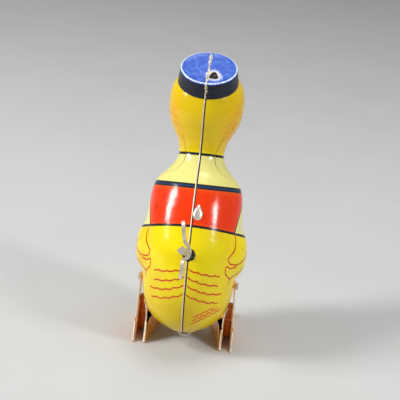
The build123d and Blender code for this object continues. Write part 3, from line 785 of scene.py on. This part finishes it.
def beak(paint):
    """Short folded beak, its two halves meeting in a mouth line at the sides."""
    rows, around = 26, 48
    points = []
    for row in range(rows):
        part = row / (rows - 1)
        reach = 9.5 + 9.3 * part
        size = 5.2 * (1 - part) ** 0.75 + 0.55
        for step in range(around):
            turn = 2 * math.pi * step / around
            across, up = math.cos(turn), math.sin(turn)
            mouth = 0.30 * math.exp(-(up / 0.10) ** 2) * (1 - part)
            wide = size * 0.92 * across * (1 - mouth)
            tall = size * 0.80 * up + 0.9 * part * part * -1
            points.append((wide, reach, tall))
    points = np.array(points)
    lean_sin, lean_cos = math.sin(LEAN), math.cos(LEAN)
    h = HEAD_H + points[:, 1] * lean_sin + points[:, 2] * lean_cos
    r = -points[:, 1] * lean_cos + points[:, 2] * lean_sin
    faces = grid_faces(rows, around, flip=False, closed=True)
    faces.append(tuple(range((rows - 1) * around, rows * around)))
    piece = add_mesh("beak", to_row(np.stack([points[:, 0], h, r], axis=-1)), faces, "body", ())
    dress(piece, paint)


# ---------------------------------------------------------------- CAD nodes that stay
def dress_node(node, material, bevel=0.0):
    """A CAD node keeps its shape, gets a material and, for sheet edges, a fine bevel."""
    piece = frame["nodes"][node]
    for place in piece.material_slots:
        place.material = material
    if bevel:
        edge = piece.modifiers.new("edge", "BEVEL")
        edge.width = bevel / 1000
        edge.segments = 2
        edge.limit_method = "ANGLE"
        edge.angle_limit = math.radians(40)
        edge.harden_normals = True


def dress_nodes():
    steel = tin_paint("tinned_steel", (0.86, 0.79, 0.70), (0.62, 0.54, 0.45), 0.75, 0.34)
    plate = tin_paint("plate_steel", (0.50, 0.50, 0.49), (0.30, 0.29, 0.27))
    blued = tin_paint("spring_steel", (0.20, 0.21, 0.25), (0.10, 0.10, 0.12))
    brass = tin_paint("gear_brass", (0.72, 0.52, 0.20), (0.45, 0.30, 0.10))
    lacquer = foot_paint()
    paints = {"tinned_steel": steel, "plate_steel": plate, "spring_steel": blued, "gear_brass": brass,
              "orange_tin": lacquer}
    bevels = {"left_foot": 0.08, "right_foot": 0.08, "winding_key": 0.22, "winding_arbor": 0.15,
              "axle_heads": 0.25, "seam_tabs": 0.15}
    for part in frame["record"]["subparts"]:
        if part["material_slot"] in paints:
            dress_node(part["node"], paints[part["material_slot"]], bevels.get(part["node"], 0.0))
    return steel


# ---------------------------------------------------------------- stage
def stage():
    """Pale floor that turns up into a pale wall all round, far from the toy."""
    flat, bend, wall = 0.75, 0.35, 1.1
    profile = [(0.02, 0.0), (flat * 0.5, 0.0)]
    for turn in np.linspace(0, math.pi / 2, 14):
        profile.append((flat + bend * math.sin(turn), bend - bend * math.cos(turn)))
    profile += [(flat + bend, wall)]
    around = 72
    points = [(0.0, 0.0, 0.0)]
    for radius, height in profile:
        for step in range(around):
            turn = 2 * math.pi * step / around
            points.append((radius * math.cos(turn), radius * math.sin(turn), height))
    faces = [(0, 1 + step, 1 + (step + 1) % around) for step in range(around)]
    for face in grid_faces(len(profile), around, closed=True):
        faces.append(tuple(reversed([corner + 1 for corner in face])))
    mesh = bpy.data.meshes.new("floor")
    mesh.from_pydata(points, [], faces)
    mesh.polygons.foreach_set("use_smooth", [True] * len(mesh.polygons))
    floor = bpy.data.objects.new("floor", mesh)
    bpy.context.scene.collection.objects.link(floor)
    paint = Paint("pale_floor")
    cloud = paint.noise(0.02, 3.0)
    floor.data.materials.append(paint.finish(
        Base_Color=paint.mix(cloud, (0.50, 0.50, 0.495), (0.56, 0.56, 0.555)), Roughness=0.6))


def lamp(name, place, target, size, power, colour=(1, 1, 1)):
    """Soft rectangular light aimed at a point."""
    data = bpy.data.lights.new(name, "AREA")
    data.shape = "RECTANGLE"
    data.size, data.size_y = size
    data.energy = power
    data.color = colour
    light = bpy.data.objects.new(name, data)
    light.location = place
    light.rotation_euler = (Vector(target) - Vector(place)).to_track_quat("-Z", "Y").to_euler()
    bpy.context.scene.collection.objects.link(light)


def lights():
    aim = tuple(CENTRE / 1000)
    lamp("key_light", (-0.63, -0.18, 0.46), aim, (0.16, 0.34), 5.6)
    lamp("fill_light", (0.58, -0.30, 0.46), aim, (0.12, 0.20), 2.6)
    lamp("top_light", (0.05, 0.15, 0.75), aim, (0.40, 0.40), 2.4)
    world = bpy.data.worlds.new("soft_world")
    world.use_nodes = True
    world.node_tree.nodes["Background"].inputs["Color"].default_value = (0.80, 0.82, 0.85, 1.0)
    world.node_tree.nodes["Background"].inputs["Strength"].default_value = 0.30
    bpy.context.scene.world = world
    bpy.context.scene.view_settings.view_transform = "Standard"


def camera():
    """Behind the chick and a little above, turned so that the toy leans as in life."""
    azimuth, elevation, roll = math.radians(3.0), math.radians(20.0), math.radians(5.0)
    distance = 0.42
    away = Vector((math.sin(azimuth) * math.cos(elevation), -math.cos(azimuth) * math.cos(elevation),
                   math.sin(elevation)))
    level = Vector((math.cos(azimuth), math.sin(azimuth), 0.0))
    above = away.cross(level)
    right = level * math.cos(roll) + above * math.sin(roll)
    up = above * math.cos(roll) - level * math.sin(roll)
    target = Vector(CENTRE / 1000) + right * 0.0030 + up * 0.0175
    data = bpy.data.cameras.new("camera")
    data.sensor_width = 36.0
    data.lens = 108.0
    view = bpy.data.objects.new("camera", data)
    turn = Matrix((right, up, away)).transposed().to_4x4()
    turn.translation = target + away * distance
    view.matrix_world = turn
    bpy.context.scene.collection.objects.link(view)
    bpy.context.scene.camera = view


def build():
    steel = dress_nodes()
    bright = tin_paint("bright_edge", (0.90, 0.80, 0.66), (0.72, 0.55, 0.36), 0.55, 0.40)
    # painted shade: the insides of the shells and caps are near-black, standing for the dark of the closed
    # body
    inside = tin_paint("inner_shade_black", (0.020, 0.019, 0.018), (0.010, 0.009, 0.008), 0.2, 0.70)
    litho = litho_paint()
    blue = cap_paint()
    for side in (-1, 1):
        shell(side, litho, inside)
        cap(side, blue, inside)
        foot_channel(side, bright)
    seam_edge(bright)
    tabs(steel)
    orange = Paint("beak_orange")
    tone = orange.noise(0.3, 3.0)
    beak(orange.finish(Base_Color=orange.mix(tone, (0.85, 0.26, 0.01), (0.75, 0.18, 0.008)), Roughness=0.22,
                       Coat_Weight=0.5, Coat_Roughness=0.08))
    stage()
    lights()
    camera()


build()
